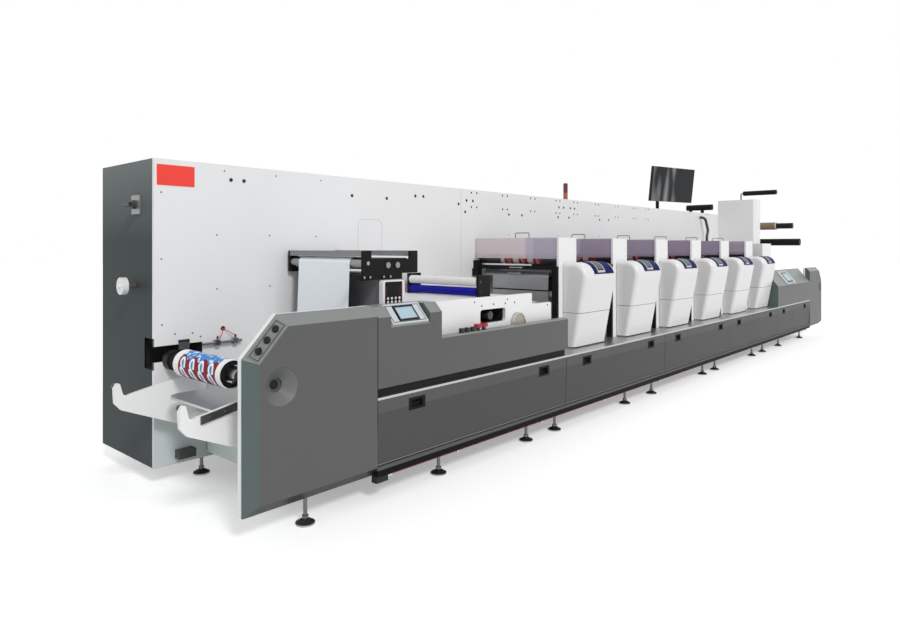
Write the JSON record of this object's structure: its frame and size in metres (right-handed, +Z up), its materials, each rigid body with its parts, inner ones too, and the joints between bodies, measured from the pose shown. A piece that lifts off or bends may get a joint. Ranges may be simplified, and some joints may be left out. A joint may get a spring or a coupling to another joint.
{
  "type": "flexographic printing press",
  "caption": "Long narrow-web label printing press: a tall cabinet wall, an unwind, in-line print units with consoles and guards, an overhead monitor and a rewind.",
  "frame": {"origin": "centre of the underside of the levelling foot at the unwind end, below the front of the wall cabinet", "axes": "+X along the web from the unwind to the rewind, -Y towards the operator, +Z up"},
  "size_m": [11.326, 1.995, 2.6392],
  "materials": {
    "white_paint": "satin",
    "dark_paint": "satin",
    "grey_paint": "satin",
    "aluminium_deck": "brushed",
    "black_steel": "satin",
    "rolled_steel": "polished",
    "black_plastic": "matte",
    "navy_plastic": "gloss",
    "red_cord": "gloss",
    "white_rubber": "satin",
    "blue_rubber": "satin",
    "label_paper": "satin",
    "core_board": "matte",
    "tinted_glass": "gloss"
  },
  "bodies": {
    "press": {"base_deck": "aluminium_deck", "cabinet_end_panel": "dark_paint", "console_screens": "navy_plastic", "cord_brackets": "black_steel", "end_panel_fittings": "black_plastic", "end_side_plates": "white_paint", "hmi_panels": "aluminium_deck", "levelling_feet": "black_steel", "machine_base": "grey_paint", "monitor_stand": "black_steel", "nip_frame": "black_steel", "overhead_roller": "black_steel", "paper_web": "label_paper", "rescue_cord": "red_cord", "rewind_bar": "black_steel", "rewind_cover": "grey_paint", "rewind_cover_block": "grey_paint", "rewind_table": "white_paint", "rewind_tower": "white_paint", "signal_tower": "black_plastic", "splice_guide_roller": "rolled_steel", "splice_pedestal": "dark_paint", "splice_table": "rolled_steel", "tension_controller": "black_plastic", "unit_consoles": "white_paint", "unit_frames": "black_steel", "unit_rollers": "rolled_steel", "unit_side_plates": "white_paint", "unit_trays": "rolled_steel", "unwind_bearing": "black_steel", "unwind_buttons": "black_plastic", "unwind_cover": "grey_paint", "wall_cabinet": "white_paint", "wall_fittings": "black_steel", "wall_panels": "white_paint", "web_cover": "grey_paint", "web_fittings": "black_steel", "web_side_plate": "white_paint", "web_table": "white_paint"},
    "unwind": {"unwind_shaft": "black_steel", "unwind_roll": "label_paper"},
    "lift_arms": {"roll_lift_arms": "white_paint", "arm_bars": "black_steel"},
    "white_nip": {"nip_roller_white": "white_rubber"},
    "blue_nip": {"nip_roller_blue": "blue_rubber"},
    "rewind": {"rewind_shaft": "black_steel", "rewind_core": "core_board"},
    "screen": {"monitor": "black_plastic"},
    "switch": {"main_switch": "black_plastic"},
    "guard_1_frame": {"guard_1": "tinted_glass"},
    "guard_2_frame": {"guard_2": "tinted_glass"},
    "guard_3_frame": {"guard_3": "tinted_glass"},
    "guard_4_frame": {"guard_4": "tinted_glass"},
    "guard_5_frame": {"guard_5": "tinted_glass"},
    "guard_6_frame": {"guard_6": "tinted_glass"},
    "door_1": {"base_door_1": "grey_paint"},
    "door_2": {"base_door_2": "grey_paint"},
    "door_3": {"base_door_3": "grey_paint"},
    "door_4": {"base_door_4": "grey_paint"},
    "door_5": {"base_door_5": "grey_paint"}
  },
  "joints": [
    {"name": "unwind_spin", "type": "hinge", "parent": "press", "child": "unwind", "pos_m": [-0.218, -0.5, 0.773], "axis": [0, 1, 0], "continuous": true},
    {"name": "lift_arm_swing", "type": "hinge", "parent": "press", "child": "lift_arms", "pos_m": [-0.115, -0.5, 0.42], "axis": [0, 1, 0], "range_deg": [-35, 20]},
    {"name": "white_nip_spin", "type": "hinge", "parent": "press", "child": "white_nip", "pos_m": [1.77, -0.5, 1.205], "axis": [0, 1, 0], "continuous": true},
    {"name": "blue_nip_spin", "type": "hinge", "parent": "press", "child": "blue_nip", "pos_m": [1.77, -0.5, 1.128], "axis": [0, 1, 0], "continuous": true},
    {"name": "rewind_spin", "type": "hinge", "parent": "press", "child": "rewind", "pos_m": [9.87, -0.5, 1.83], "axis": [0, 1, 0], "continuous": true},
    {"name": "monitor_swivel", "type": "hinge", "parent": "press", "child": "screen", "pos_m": [7.13, 0.13, 2.388], "axis": [0, 0, 1], "range_deg": [-30, 30]},
    {"name": "main_switch_turn", "type": "hinge", "parent": "press", "child": "switch", "pos_m": [-0.33, 0.2, 1.74], "axis": [1, 0, 0], "range_deg": [0, 90]},
    {"name": "guard_1_lift", "type": "slide", "parent": "press", "child": "guard_1_frame", "axis": [0, 0, 1], "range_m": [0, 0.2]},
    {"name": "guard_2_lift", "type": "slide", "parent": "press", "child": "guard_2_frame", "axis": [0, 0, 1], "range_m": [0, 0.2]},
    {"name": "guard_3_lift", "type": "slide", "parent": "press", "child": "guard_3_frame", "axis": [0, 0, 1], "range_m": [0, 0.2]},
    {"name": "guard_4_lift", "type": "slide", "parent": "press", "child": "guard_4_frame", "axis": [0, 0, 1], "range_m": [0, 0.2]},
    {"name": "guard_5_lift", "type": "slide", "parent": "press", "child": "guard_5_frame", "axis": [0, 0, 1], "range_m": [0, 0.2]},
    {"name": "guard_6_lift", "type": "slide", "parent": "press", "child": "guard_6_frame", "axis": [0, 0, 1], "range_m": [0, 0.2]},
    {"name": "door_1_drop", "type": "hinge", "parent": "press", "child": "door_1", "pos_m": [1.4315, -1.2283, 0.213], "axis": [1, 0, 0], "range_deg": [0, 80]},
    {"name": "door_2_drop", "type": "hinge", "parent": "press", "child": "door_2", "pos_m": [3.368, -1.2283, 0.213], "axis": [1, 0, 0], "range_deg": [0, 80]},
    {"name": "door_3_drop", "type": "hinge", "parent": "press", "child": "door_3", "pos_m": [5.2325, -1.2283, 0.213], "axis": [1, 0, 0], "range_deg": [0, 80]},
    {"name": "door_4_drop", "type": "hinge", "parent": "press", "child": "door_4", "pos_m": [7.135, -1.2283, 0.213], "axis": [1, 0, 0], "range_deg": [0, 80]},
    {"name": "door_5_drop", "type": "hinge", "parent": "press", "child": "door_5", "pos_m": [8.9995, -1.2283, 0.213], "axis": [1, 0, 0], "range_deg": [0, 80]}
  ],
  "couplings": [
    {"joint": "blue_nip_spin", "follows": "white_nip_spin", "ratio": -1}
  ]
}
